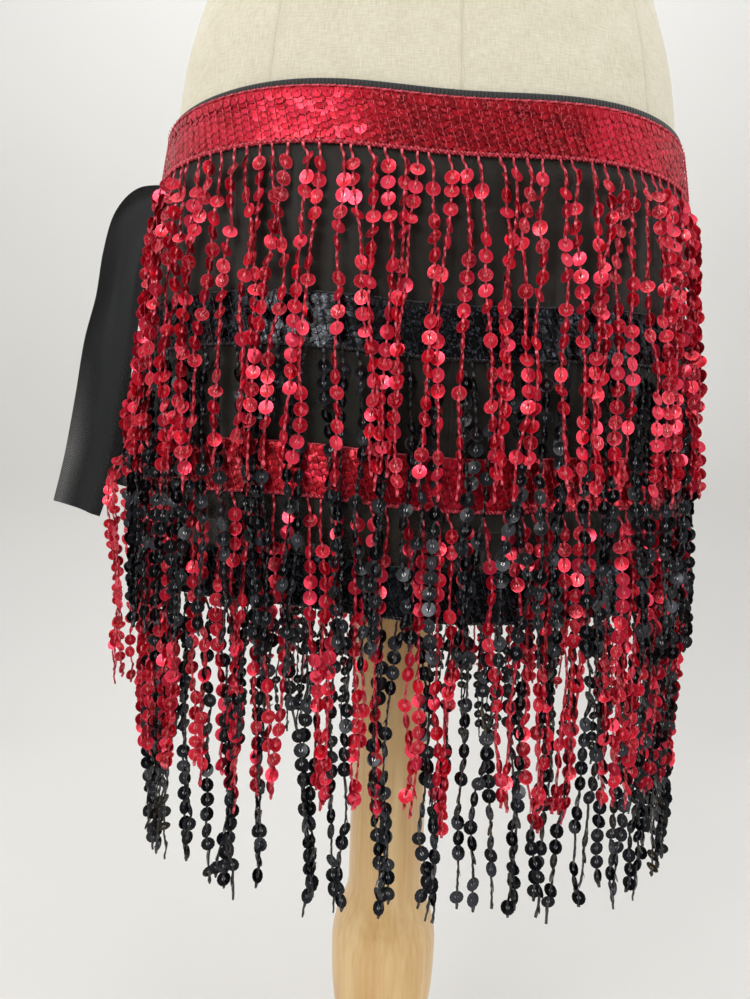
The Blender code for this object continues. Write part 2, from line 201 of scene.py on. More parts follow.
def hang(column, height, out=0.0, kept=0.0):
    """Places on the wrap's outer face, moved out by a distance, and the way out there.

    Below the kept height the flare stays as it is there, as for a strand that hangs free.
    """
    column, height, out = np.broadcast_arrays(
        np.asarray(column, float), np.asarray(height, float), np.asarray(out, float))
    angle = np.interp(column, RING_COLUMNS, RING_ANGLES)
    side = oval(angle, *section_at(height, CLOTH_SECTIONS))[0]
    corner = np.maximum(height, kept)
    bulge = 1 - smooth_step(corner, FLARE_KEPT, FLARE_TOP)
    bulge = bulge * smooth_step(corner, FLARE_END, FLARE_KEPT)
    front = (1 - smooth_step(column, 0, FLARE_COLUMNS)) * bulge
    back = smooth_step(column, CLOTH_COLUMNS - FLARE_COLUMNS, CLOTH_COLUMNS) * bulge
    lift = (1 - smooth_step(column, 0, LIFT_COLUMNS)) * (1 - smooth_step(corner, FLARE_KEPT, LIFT_TOP))
    turn = 2 * math.pi * column / COLUMNS
    waves = 0.6 * np.sin(7 * turn) + 0.4 * np.sin(12 * turn + 1)
    waves = waves * (1 - smooth_step(height, FOLD_FULL, FOLD_TOP))
    out = out + FOLD_DEPTH * waves + FLARE * front + BACK_FLARE * back
    level = height - TILT * side + RISE * (1 - np.cos(4 * (angle - RISE_TURN)))
    x, y, out_x, out_y = oval(angle, *section_at(level, CLOTH_SECTIONS))
    place = np.stack([x + out * out_x + FORM_SHIFT, y + out * out_y, level + LIFT * lift], -1)
    return place, np.stack([out_x, out_y, np.zeros_like(out_x)], -1)


def unit(vectors):
    return vectors / np.maximum(np.linalg.norm(vectors, axis=-1, keepdims=True), 1e-12)


def grid_faces(rows, columns, wrap=False, size=(1.0, 1.0)):
    """Quads of a grid of points, and where each corner lies on it in metres."""
    count = columns if wrap else columns - 1
    row, column = np.meshgrid(np.arange(rows - 1), np.arange(count), indexing="ij")
    row, column = row.ravel(), column.ravel()
    after = (column + 1) % columns
    low, high = row * columns, (row + 1) * columns
    faces = np.stack([low + column, low + after, high + after, high + column], -1)
    across = np.stack([column, column + 1, column + 1, column], -1) / count * size[0]
    up = np.stack([row, row, row + 1, row + 1], -1) / (rows - 1) * size[1]
    return faces, np.stack([across, up], -1)


def add_mesh(name, points, groups, finish, smooth=True, tone=None, sharp_angle=None):
    """A mesh object from points and groups of faces, each group with its own corner places."""
    mesh = bpy.data.meshes.new(name)
    points = np.asarray(points, np.float32).reshape(-1, 3)
    corners = np.concatenate([faces.ravel() for faces, _ in groups])
    sizes = np.concatenate([np.full(len(faces), faces.shape[1]) for faces, _ in groups])
    mesh.vertices.add(len(points))
    mesh.vertices.foreach_set("co", points.ravel())
    mesh.loops.add(len(corners))
    mesh.loops.foreach_set("vertex_index", corners.astype(np.int32))
    mesh.polygons.add(len(sizes))
    starts = np.concatenate([[0], np.cumsum(sizes)[:-1]]).astype(np.int32)
    mesh.polygons.foreach_set("loop_start", starts)
    mesh.update(calc_edges=True)
    places = mesh.uv_layers.new(name="UVMap")
    flat = [np.asarray(place, np.float32).reshape(-1, 2) for _, place in groups]
    places.data.foreach_set("uv", np.concatenate(flat).ravel())
    if tone is not None:
        layer = mesh.attributes.new("tone", "FLOAT", "POINT")
        layer.data.foreach_set("value", np.asarray(tone, np.float32).ravel())
    mesh.polygons.foreach_set("use_smooth", np.full(len(sizes), smooth))
    if sharp_angle is not None:
        mesh.set_sharp_from_angle(angle=math.radians(sharp_angle))
    if mesh.validate():
        raise RuntimeError(f"{name} has faces that don't hold together")
    mesh.materials.append(finish)
    made = bpy.data.objects.new(name, mesh)
    bpy.context.collection.objects.link(made)
    return made


def flat_cap(first, count, points, up=True):
    """One face over a ring of points, seen from above or from below."""
    face = np.arange(first, first + count)[None, :]
    face = face if up else face[:, ::-1]
    return face, np.asarray(points)[face][..., :2]


def shell(outer, inner, size):
    """Closed thin wall between an outer and an inner grid of points, rows going up."""
    rows, columns = outer.shape[:2]
    faces, places = grid_faces(rows, columns, size=size)
    count = rows * columns
    index = np.arange(count).reshape(rows, columns)
    groups = [(faces, places), (faces[:, ::-1] + count, places[:, ::-1])]
    edges = (index[0], index[-1][::-1], index[:, 0][::-1], index[:, -1])
    for edge in edges:
        near, far = edge[:-1], edge[1:]
        strip = np.stack([near + count, far + count, far, near], -1)
        groups.append((strip, np.zeros((len(strip), 4, 2)) + places[0, 0]))
    points = np.concatenate([outer.reshape(-1, 3), inner.reshape(-1, 3)])
    return points, groups


def tubes(paths, rights, outs, radius, sides, twist=0.0, lengths=None):
    """Closed tubes along many paths, (tube, step, xyz), with a twist from step to step."""
    count, steps = paths.shape[:2]
    side = np.arange(sides) / sides * 2 * math.pi
    turn = side[None, :] + twist * np.arange(steps)[:, None]
    radius = np.broadcast_to(radius, (count, steps))[..., None, None]
    ring = np.cos(turn)[None, ..., None] * rights[:, :, None] \
        + np.sin(turn)[None, ..., None] * outs[:, :, None]
    points = paths[:, :, None] + radius * ring
    faces, places = grid_faces(steps, sides, wrap=True)
    starts = (np.arange(count) * steps * sides)[:, None, None]
    lengths = np.broadcast_to(1.0 if lengths is None else lengths, (count,))
    places = places[None] * np.stack([np.ones(count), lengths], -1)[:, None, None]
    groups = [((faces[None] + starts).reshape(-1, 4), places.reshape(-1, 4, 2))]
    low = np.arange(sides)[::-1][None] + starts[:, 0]
    high = np.arange(sides)[None] + starts[:, 0] + (steps - 1) * sides
    ends = np.concatenate([low, high])
    groups.append((ends, np.zeros((len(ends), sides, 2))))
    return points.reshape(-1, 3), groups


def copies(template, faces, places, centres, rights, ups, outs):
    """The same small shape at many places, each with its own directions."""
    frames = np.stack([rights, ups, outs], 1)
    points = np.einsum("vk,nkj->nvj", template, frames) + centres[:, None]
    starts = (np.arange(len(centres)) * len(template))[:, None, None]
    groups = []
    for group, place in zip(faces, places):
        many = (group[None] + starts).reshape(-1, group.shape[1])
        groups.append((many, np.tile(place, (len(centres), 1, 1))))
    return points.reshape(-1, 3), groups


def rope(points, rights, outs, radius, turns, sides=4):
    """Two threads laid round each other along a path."""
    steps = len(points)
    phase = np.linspace(0, 2 * math.pi * turns, steps)
    both = []
    for start in (0.0, math.pi):
        push = np.cos(phase + start)[:, None] * rights + np.sin(phase + start)[:, None] * outs
        both.append(points + push * radius * 0.5)
    rights = np.stack([rights, rights])
    outs = np.stack([outs, outs])
    return tubes(np.stack(both), rights, outs, radius * 0.62, sides)


def threaded_sequin(radius):
    """Round film sequin with a hole, slightly cupped: 12 sides, 4 at the hole."""
    sides = 12
    turn = np.arange(sides) / sides * 2 * math.pi
    hole = np.arange(4) / 4 * 2 * math.pi
    rim = np.stack([np.cos(turn), np.sin(turn), np.full(sides, 0.09)], -1)
    front = np.stack([0.16 * np.cos(hole), 0.16 * np.sin(hole), np.full(4, 0.02)], -1)
    back = front * (1, 1, 0) + (0, 0, -0.025)
    points = np.concatenate([rim, front, back]) * radius
    upper = []
    for corner in range(4):
        middle = 3 * corner
        inner = sides + corner
        after = sides + (corner + 1) % 4
        upper.append((inner, (middle - 1) % sides, middle))
        upper.append((inner, middle, middle + 1))
        upper.append((inner, middle + 1, middle + 2))
        upper.append((inner, middle + 2, after))
    upper = np.array(upper)
    lower = np.where(upper >= sides, upper + 4, upper)[:, ::-1]
    wall = np.array([(12 + k, 12 + (k + 1) % 4, 16 + (k + 1) % 4, 16 + k) for k in range(4)])
    faces = [np.concatenate([upper, lower]), wall]
    flat = points[:, :2] / radius / 2 + 0.5
    return points, faces, [flat[group] for group in faces]


def scale_sequin(radius):
    """Round sequin of a band, a closed cup of 10 sides."""
    sides = 10
    turn = np.arange(sides) / sides * 2 * math.pi
    rim = np.stack([np.cos(turn), np.sin(turn), np.zeros(sides)], -1)
    points = np.concatenate([rim, [(0, 0, 0.05), (0, 0, -0.03)]]) * radius
    after = (np.arange(sides) + 1) % sides
    upper = np.stack([np.full(sides, sides), np.arange(sides), after], -1)
    lower = np.stack([np.full(sides, sides + 1), after, np.arange(sides)], -1)
    faces = [np.concatenate([upper, lower])]
    flat = points[:, :2] / radius / 2 + 0.5
    return points, faces, [flat[faces[0]]]


# ---------------------------------------------------------------- materials

class Wire:
    """A value in a material that ordinary arithmetic works on."""

    def __init__(self, tree, socket):
        self.tree = tree
        self.socket = socket

    def maths(self, operation, *values):
        node = self.tree.nodes.new("ShaderNodeMath")
        node.operation = operation
        for place, value in zip(node.inputs, values):
            put(self.tree, place, value)
        return Wire(self.tree, node.outputs[0])

    def __add__(self, other):
        return self.maths("ADD", self, other)

    def __sub__(self, other):
        return self.maths("SUBTRACT", self, other)

    def __rsub__(self, other):
        return self.maths("SUBTRACT", other, self)

    def __mul__(self, other):
        return self.maths("MULTIPLY", self, other)

    def __truediv__(self, other):
        return self.maths("DIVIDE", self, other)

    def __rtruediv__(self, other):
        return self.maths("DIVIDE", other, self)

    def __pow__(self, other):
        return self.maths("POWER", self, other)

    __radd__ = __add__
    __rmul__ = __mul__

    def between(self, low, high):
        """0 at low, 1 at high and held in between."""
        share = (self - low) / (high - low)
        return share.maths("MINIMUM", share.maths("MAXIMUM", share, 0.0), 1.0)


def put(tree, place, value):
    if isinstance(value, Wire):
        tree.links.new(value.socket, place)
    else:
        place.default_value = value


class Finish:
    """A material made of nodes round one Principled shader."""

    def __init__(self, name, **values):
        self.material = bpy.data.materials.new(name)
        self.material.use_nodes = True
        self.tree = self.material.node_tree
        self.shader = self.tree.nodes["Principled BSDF"]
        for key, value in values.items():
            self.shader.inputs[key.replace("_", " ")].default_value = value

    def node(self, kind, output, settings=(), **values):
        made = self.tree.nodes.new("ShaderNode" + kind)
        for key, value in dict(settings).items():
            setattr(made, key, value)
        for key, value in values.items():
            put(self.tree, made.inputs[key.replace("_", " ")], value)
        return Wire(self.tree, made.outputs[output])

    def place(self, kind="UV"):
        return self.node("TexCoord", kind)

    def stretched(self, place, x, y, z=1.0):
        made = self.tree.nodes.new("ShaderNodeVectorMath")
        made.operation = "MULTIPLY"
        put(self.tree, made.inputs[0], place)
        made.inputs[1].default_value = (x, y, z)
        return Wire(self.tree, made.outputs[0])

    def parts(self, place):
        split = self.tree.nodes.new("ShaderNodeSeparateXYZ")
        put(self.tree, split.inputs[0], place)
        return [Wire(self.tree, socket) for socket in split.outputs]

    def noise(self, place, detail=2.0):
        return self.node("TexNoise", "Fac", Vector=place, Scale=1.0, Detail=detail)

    def tone(self):
        settings = {"attribute_type": "GEOMETRY", "attribute_name": "tone"}
        return self.node("Attribute", "Fac", settings)

    def mixed(self, share, first, second):
        made = self.tree.nodes.new("ShaderNodeMix")
        made.data_type = "RGBA"
        put(self.tree, made.inputs[0], share)
        put(self.tree, made.inputs[6], first)
        put(self.tree, made.inputs[7], second)
        return Wire(self.tree, made.outputs[2])

    def drive(self, name, wire):
        put(self.tree, self.shader.inputs[name], wire)

    def bump(self, height, distance, strength=1.0):
        wire = self.node("Bump", "Normal", Height=height, Distance=distance, Strength=strength)
        self.drive("Normal", wire)


def linen(pale, dark):
    made = Finish("linen", Roughness=0.92, Sheen_Weight=0.15)
    place = made.place()
    warp = made.noise(made.stretched(place, 1500, 160))
    weft = made.noise(made.stretched(place, 160, 1500))
    blot = made.noise(made.stretched(place, 60, 60), 3.0)
    weave = (warp + weft + blot * 0.5) / 2.5
    made.drive("Base Color", made.mixed(weave.between(0.32, 0.66), dark, pale))
    made.bump(warp + weft, 0.0004, 0.5)
    return made.material


def wood(name, pale, dark, way):
    """Clear lacquered beech; way is how much the grain is pressed along x, y and z."""
    made = Finish(name, Roughness=0.38, Coat_Weight=0.35, Coat_Roughness=0.2)
    place = made.place("Object")
    grain = made.noise(made.stretched(place, *way), 5.0)
    fleck = made.noise(made.stretched(place, *[value * 6 for value in way]), 2.0)
    share = (grain * 0.7 + fleck * 0.3).between(0.35, 0.65)
    made.drive("Base Color", made.mixed(share, dark, pale))
    made.drive("Roughness", 0.34 + fleck * 0.12)
    return made.material


def sheer(name, dark, pale, opacity, spread, streaks, sheen=0.2, close_end=None, thin_end=None):
    """Thin see-through cloth with soft vertical streaks of painted sheen and shade; opacity is for one
    face of it.

    Each end is given as two places along the cloth. The cloth is closer below the close end. A
    thin end lets more light through at the cloth's left corner, in fine wavy lines.
    """
    made = Finish(name, Roughness=0.6, Sheen_Weight=sheen, Specular_IOR_Level=0.25)
    place = made.place()
    sheen_streak = made.noise(made.stretched(place, *streaks), 3.0)
    weave = made.noise(made.stretched(place, 900, 900), 1.0)
    share = sheen_streak * 0.75 + weave * 0.25
    # The pale streaks are painted sheen where the folds catch light, the dark ones painted shade
    # between them.
    made.drive("Base Color", made.mixed(share.between(0.3, 0.7), dark, pale))
    cover = opacity + (share - 0.5) * spread
    across, along, _ = made.parts(place)
    if close_end:
        cover = cover + (1 - along.between(*close_end)) * 0.2
    if thin_end:
        wander = made.noise(made.stretched(place, 55, 30), 1.0)
        wave = (along * 2.2 + across * 1.3 + wander * 0.016) * (2 * math.pi / 0.0022)
        lines = wave.maths("SINE", wave) * 0.5 + 0.5
        corner = along.between(*thin_end) * (1 - across.between(0.004, 0.014))
        cover = cover - corner * (0.14 + lines * 0.3)
    made.drive("Alpha", cover.between(0.0, 1.0))
    made.bump(sheen_streak, 0.002, 0.3)
    return made.material


def knitted(name, dark, pale):
    """Folded elastic edging with ribs across it."""
    made = Finish(name, Roughness=0.7, Sheen_Weight=0.2)
    across, _, _ = made.parts(made.place())
    rib = across.maths("SINE", across * (2 * math.pi / 0.0022)) * 0.5 + 0.5
    speck = made.noise(made.stretched(made.place(), 900, 900))
    made.drive("Base Color", made.mixed((rib * 0.5 + speck * 0.5).between(0.25, 0.8), dark, pale))
    made.bump(rib, 0.0004, 0.7)
    return made.material


def thread(name, dark, pale, pitch):
    """Shiny twisted thread: stripes of painted highlight and shade wind round it once a pitch."""
    made = Finish(name, Roughness=0.42, Metallic=0.15, Coat_Weight=0.15)
    round_it, along, _ = made.parts(made.place())
    wind = (along / pitch + round_it) * (2 * math.pi)
    ply_highlight = wind.maths("SINE", wind) * 0.5 + 0.5
    speck = made.noise(made.stretched(made.place("Object"), 500, 500, 500))
    # Painted highlight on the plies and painted shade between them, with random specks.
    share = (ply_highlight * 0.65 + speck * 0.5).between(0.2, 0.95)
    made.drive("Base Color", made.mixed(share, dark, pale))
    made.bump(ply_highlight, 0.0003, 0.6)
    return made.material


def film(name, tones, glint, dot, hole, rim, metal, sparkle, gloss):
    """Sequin film. Each sequin's tone sets its shade; sparkle is the share of tiny facets that get a
    painted glint. The rim colour is a painted highlight on threaded sequins and painted shade of the
    gaps on band scales; the dot is a painted glint round the hole on threaded sequins and a painted
    shaded hole on band scales.
    """
    dark, middle, bright = tones
    made = Finish(name, Coat_Weight=0.12, Coat_Roughness=0.05, Specular_IOR_Level=gloss)
    tone = made.tone()
    across, up, _ = made.parts(made.place())
    across, up = across - 0.5, up - 0.5
    radius = (across * across + up * up) ** 0.5
    # Painted hole spot: a painted glint round the hole of threaded sequins, a painted shaded hole on
    # band scales.
    hole_light_and_shade = 1 - radius.between(hole * 0.8, hole * 1.15)
    # Painted rim: a painted highlight round threaded sequins, painted shade in the gaps along the band
    # scales' edges.
    edge = radius.between(0.39, 0.46)
    place = made.place("Object")
    facets = {"feature": "F1", "voronoi_dimensions": "3D"}
    cell = made.node("TexVoronoi", "Color", facets, Vector=made.stretched(place, 850, 850, 850),
                     Scale=1.0)
    chance, turn, _ = made.parts(cell)
    # Painted glints: a share of tiny facets takes the pale glint colour and more metal.
    speck = chance.between(0.72, 0.92) * sparkle * (1.3 - tone)
    base = made.mixed(tone.between(0.0, 0.5), dark, middle)
    base = made.mixed(tone.between(0.55, 0.95), base, bright)
    base = made.mixed(speck, base, glint)
    base = made.mixed(edge * 0.6, base, rim)
    made.drive("Base Color", made.mixed(hole_light_and_shade * 0.9, base, dot))
    made.drive("Metallic", metal + speck * (0.95 - metal))
    made.drive("Roughness", 0.18 + (1 - tone) * 0.1 + turn * 0.05)
    made.bump(turn, 0.0002, 0.15)
    return made.material


def wall_paint(tint):
    made = Finish("studio_wall", Roughness=0.95)
    place = made.place("Object")
    blot = made.noise(made.stretched(place, 1.3, 1.3, 1.3), 2.0)
    darker = tuple(value * 0.96 for value in tint[:3]) + (1.0,)
    made.drive("Base Color", made.mixed(blot.between(0.3, 0.7), darker, tint))
    return made.material


# ---------------------------------------------------------------- settings

def length_setting(name, description, default):
    return bpy.props.FloatProperty(
        name=name, description=description, default=default, min=0.0, unit="LENGTH",
        subtype="DISTANCE", precision=4)


def share_setting(name, description, default):
    return bpy.props.FloatProperty(
        name=name, description=description, default=default, min=0.0, max=1.0,
        subtype="FACTOR")


def colour_setting(name, description, default):
    return bpy.props.FloatVectorProperty(
        name=name, description=description, default=default, size=4, min=0.0, max=1.0,
        subtype="COLOR")


def count_setting(name, description, default):
    return bpy.props.IntProperty(name=name, description=description, default=default, min=1)


class FormSettings(bpy.types.PropertyGroup):
    seam_depth: length_setting("Seam depth", "How deep the cover's seams lie", 0.0007)
    linen_pale: colour_setting("Pale linen", "Raised threads", colour(242, 235, 214))
    linen_dark: colour_setting("Dark linen", "Threads below them", colour(212, 203, 175))
    wood_pale: colour_setting("Pale wood", "Wood between the grain", colour(238, 204, 146))
    wood_dark: colour_setting("Dark wood", "Wood in the grain", colour(214, 166, 102))


class ClothSettings(bpy.types.PropertyGroup):
    wall: length_setting("Cloth wall", "Thickness of the sheer cloth", 0.0006)
    opacity: share_setting("Opacity", "How much one face of the cloth hides", 0.66)
    dark: colour_setting("Dark", "Sheer cloth's own colour", colour(22, 21, 19))
    pale: colour_setting("Pale", "Its colour where it catches light", colour(54, 52, 47))


class BandSettings(bpy.types.PropertyGroup):
    sequin_radius: length_setting("Sequin radius", "Radius of a sewn sequin", 0.0036)
    columns: count_setting("Sequins along a band", "Sequins in one row", 160)
    rows: count_setting("Rows", "Rows of sequins on a band", 8)
    lean: length_setting("Lean", "How far a stitched line leans over a band", 0.010)
    tilt: bpy.props.FloatProperty(
        name="Tilt", description="How far a sewn sequin tips down over the next one",
        default=math.radians(11), subtype="ANGLE")


class FringeSettings(bpy.types.PropertyGroup):
    strands: count_setting("Strands in a column", "Strands hung in each column", 2)
    sequin_radius: length_setting("Sequin radius", "Radius of a threaded sequin", 0.0041)
    pitch: length_setting("Pitch", "From one threaded sequin to the next", 0.0086)
    first: length_setting("Bare thread", "From the band to the first sequin", 0.0085)
    thread_radius: length_setting("Thread radius", "Radius of the twisted thread", 0.0008)
    stray: length_setting("Stray", "How far the strands stray sideways", 0.0045)


class TieSettings(bpy.types.PropertyGroup):
    wall: length_setting("Cloth wall", "Thickness of the tie's cloth", 0.0008)
    opacity: share_setting("Opacity", "How much one face of the tie hides", 0.93)


class StageSettings(bpy.types.PropertyGroup):
    wall: colour_setting("Studio wall", "Floor and wall colour", colour(220, 219, 216))
    key: bpy.props.FloatProperty(name="Key light", description="Power of the key light",
                                 default=20.0, min=0.0, unit="POWER")
    fill: bpy.props.FloatProperty(name="Fill light", description="Power of the fill light",
                                  default=8.5, min=0.0, unit="POWER")
    world: bpy.props.FloatProperty(name="Sky", description="Strength of the even light",
                                   default=0.8, min=0.0)
    back: bpy.props.FloatProperty(name="Wall light", description="Power of the wall's light",
                                  default=13.0, min=0.0, unit="POWER")


# ---------------------------------------------------------------- pieces

def settle(made, slot, *nodes):
    """The piece goes with the part's one body and stands for those solids."""
    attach(made, "root")
    if nodes:
        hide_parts(*nodes)
    return made


def finishes():
    """Red and black looks that the bands and fringes take in turn."""
    if "red_film" not in bpy.data.materials:
        # Each film: tones, painted glint, dot, hole size, rim, metal, sparkle, gloss. On the threaded
        # films the dot and rim are painted highlights, on the band scales painted shade.
        film("red_film", (colour(150, 0, 18), colour(214, 9, 40), colour(244, 54, 86)),
             colour(255, 120, 130), colour(255, 176, 180), 0.12, colour(238, 62, 92), 0.55, 0.35, 0.4)
        film("black_film", (colour(4, 4, 5), colour(9, 9, 11), colour(62, 64, 70)),
             colour(70, 78, 100), colour(214, 214, 216), 0.12, colour(40, 41, 44), 0.3, 0.2, 0.15)
        film("red_scale", (colour(112, 0, 10), colour(188, 4, 30), colour(234, 40, 70)),
             colour(255, 84, 96), colour(40, 0, 4), 0.07, colour(96, 0, 10), 0.55, 0.6, 0.3)
        film("black_scale", (colour(4, 4, 5), colour(8, 9, 11), colour(44, 46, 50)),
             colour(112, 118, 136), colour(1, 1, 1), 0.07, colour(3, 3, 4), 0.35, 0.5, 0.2)
        thread("red_thread", colour(165, 6, 28), colour(250, 92, 112), 0.0042)
        thread("black_thread", colour(8, 8, 9), colour(66, 66, 70), 0.0042)
    return (
        {"name": "red_sequin", "film": "red_film", "scale": "red_scale",
         "thread": "red_thread"},
        {"name": "black_sequin", "film": "black_film", "scale": "black_scale",
         "thread": "black_thread"},
    )


def look(tier, key):
    return bpy.data.materials[finishes()[tier % 2][key]]


def make_form(settings):
    """Linen cover on the hip form, sewn from panels, with a panel over its top."""
    even = np.linspace(-180, 180, 180, endpoint=False)
    near_seam = np.array([-1.2, -0.6, -0.3, 0.0, 0.3, 0.6, 1.2])
    seams = np.array(SEAM_ANGLES)
    keep = [angle for angle in even if np.min(np.abs(seams - angle)) > 1.5]
    degrees = np.sort(np.concatenate([keep, (seams[:, None] + near_seam).ravel()]))
    nearest = np.min(np.abs(degrees[:, None] - seams), axis=1)
    dip = settings.seam_depth * (np.exp(-(nearest / 0.28) ** 2)
                                 - 0.35 * np.exp(-((nearest - 0.9) / 0.4) ** 2))
    heights = np.concatenate([
        [0.528, 0.5292, 0.531, 0.535], np.linspace(0.540, 0.926, 64), [0.9305, 0.935, 0.9375, 0.939]])
    width, depth = section_at(heights[:, None], FORM_SECTIONS)
    angles = np.radians(degrees)[None, :]
    x, y, out_x, out_y = oval(angles, width, depth)
    fade = 1 - smooth_step(heights, 0.930, 0.936)[:, None]
    x = x - dip * fade * out_x + FORM_SHIFT
    y = y - dip * fade * out_y
    points = np.stack([x, y, np.broadcast_to(heights[:, None], x.shape)], -1)
    rows, columns = points.shape[:2]
    faces, places = grid_faces(rows, columns, wrap=True, size=(0.96, heights[-1] - heights[0]))
    centre = np.array([FORM_SHIFT, 0, 0])
    rings = [points.reshape(-1, 3)]
    groups = [(faces, places)]
    top = points[-1]
    caps = [top * (s, s, 1) + centre * (1 - s) + (0, 0, drop) for s, drop in
            ((0.985, -0.0004), (0.97, -0.0012), (0.95, -0.0008), (0.6, -0.0006))]
    rings.append(np.concatenate(caps))
    faces, _ = grid_faces(5, columns, wrap=True)
    faces = faces + (rows - 1) * columns
    everything = np.concatenate(rings)
    groups.append((faces, everything[faces][..., :2]))
    groups.append(flat_cap((rows + 3) * columns, columns, everything))
    groups.append(flat_cap(0, columns, everything, up=False))
    cover = linen(settings.linen_pale, settings.linen_dark)
    made = add_mesh("form_cover", everything, groups, cover, sharp_angle=50)
    settle(made, "linen", "form_torso")


def make_stand(settings):
    """Turned column from a spun profile, and the round base it stands on."""
    pale, dark = settings.wood_pale, settings.wood_dark
    heights = np.unique(np.concatenate([
        COLUMN_PROFILE[:, 0], np.arange(0.021, 0.262, 0.0025), np.linspace(0.262, 0.5277, 8)]))
    radii = curve_through(heights, COLUMN_PROFILE[:, 0], COLUMN_PROFILE[:, 1])
    sides = 64
    turn = np.arange(sides) / sides * 2 * math.pi
    ring = np.stack([np.cos(turn), np.sin(turn)], -1)
    points = np.concatenate([
        radii[:, None, None] * ring,
        np.broadcast_to(heights[:, None, None], (len(heights), sides, 1))], -1)
    faces, places = grid_faces(len(heights), sides, wrap=True, size=(0.17, 0.5))
    flat = points.reshape(-1, 3)
    groups = [(faces, places), flat_cap(0, sides, flat, up=False),
              flat_cap(len(flat) - sides, sides, flat)]
    made = add_mesh("stand_column", flat, groups,
                    wood("column_beech", pale, dark, (60, 60, 5)), sharp_angle=40)
    settle(made, "wood", "column")

    bpy.ops.object.select_all(action="DESELECT")
    bpy.ops.mesh.primitive_cylinder_add(
        vertices=128, radius=BASE_RADIUS, depth=BASE_HEIGHT, location=(0, 0, BASE_HEIGHT / 2))
    base = bpy.context.active_object
    base.name = "stand_base"
    base.data.name = "stand_base"
    bpy.ops.object.transform_apply(location=True, rotation=True, scale=True)
    soften = base.modifiers.new("rounded_edge", "BEVEL")
    soften.width = 0.005
    soften.segments = 4
    soften.limit_method = "ANGLE"
    bpy.ops.object.modifier_apply(modifier=soften.name)
    bpy.ops.object.shade_smooth_by_angle(angle=math.radians(40))
    base.data.materials.append(wood("base_beech", pale, dark, (5, 60, 60)))
    settle(base, "wood", "base_disc")


def make_wrap(settings):
    """Sheer wrap, its folded waist edging and the rolled hems of its free edges."""
    columns = np.linspace(0, CLOTH_COLUMNS, CLOTH_COLUMNS * 5 + 1)
    heights = np.linspace(HEM, WAIST, 46)
    outer, _ = hang(columns[None], heights[:, None])
    inner, _ = hang(columns[None], heights[:, None], -settings.wall)
    points, groups = shell(outer, inner, (0.99, WAIST - HEM))
    cloth = sheer("black_chiffon", settings.dark, settings.pale, settings.opacity, 0.25,
                  (260, 14), close_end=(0.042, 0.062))
    settle(add_mesh("wrap_cloth", points, groups, cloth, sharp_angle=60),
           "chiffon", "base_cloth")

    turn = np.arange(14) / 14 * 2 * math.pi
    lift = np.sign(np.sin(turn)) * np.abs(np.sin(turn)) ** 0.6
    push = 0.0011 * np.sign(np.cos(turn)) * np.abs(np.cos(turn)) ** 0.6
    columns = np.linspace(0, CLOTH_COLUMNS, CLOTH_COLUMNS * 6 + 1)
    half = 0.0013 + 0.0013 * smooth_step(columns, 3, 14)[:, None]
    ring, _ = hang(columns[:, None], WAIST + 0.0001 + half * (1 + 0.92 * lift), push[None])
    faces, places = grid_faces(len(columns), 14, wrap=True, size=(0.009, 0.92))
    flat = ring.reshape(-1, 3)
    places = places[..., ::-1]
    groups = [(faces, places)]
    groups.append((np.arange(14)[None, ::-1], np.zeros((1, 14, 2))))
    groups.append((np.arange(len(flat) - 14, len(flat))[None], np.zeros((1, 14, 2))))
    edging = knitted("black_edging", colour(16, 16, 17), colour(52, 51, 50))
    settle(add_mesh("waist_edging", flat, groups, edging, sharp_angle=60),
           "chiffon", "waist_binding")

    for name, column in (("front", 0.0), ("back", float(CLOTH_COLUMNS))):
        heights = np.linspace(HEM, WAIST, 120)
        path, outs = hang(column, heights, -settings.wall / 2)
        ups = unit(np.gradient(path, axis=0))
        rights = unit(np.cross(ups, outs))
        points, groups = tubes(path[None], rights[None], outs[None], 0.0009, 6,
                               lengths=WAIST - HEM)
        settle(add_mesh(f"rolled_hem_{name}", points, groups, edging), "chiffon")


def across_band(columns, heights, out):
    """Places on a band with their right, up and out directions."""
    places, outs = hang(columns, heights, out)
    after, _ = hang(columns + 0.02, heights, out)
    rights = unit(after - places)
    ups = unit(np.cross(outs, rights))
    outs = np.cross(rights, ups)
    return places, rights, ups, outs


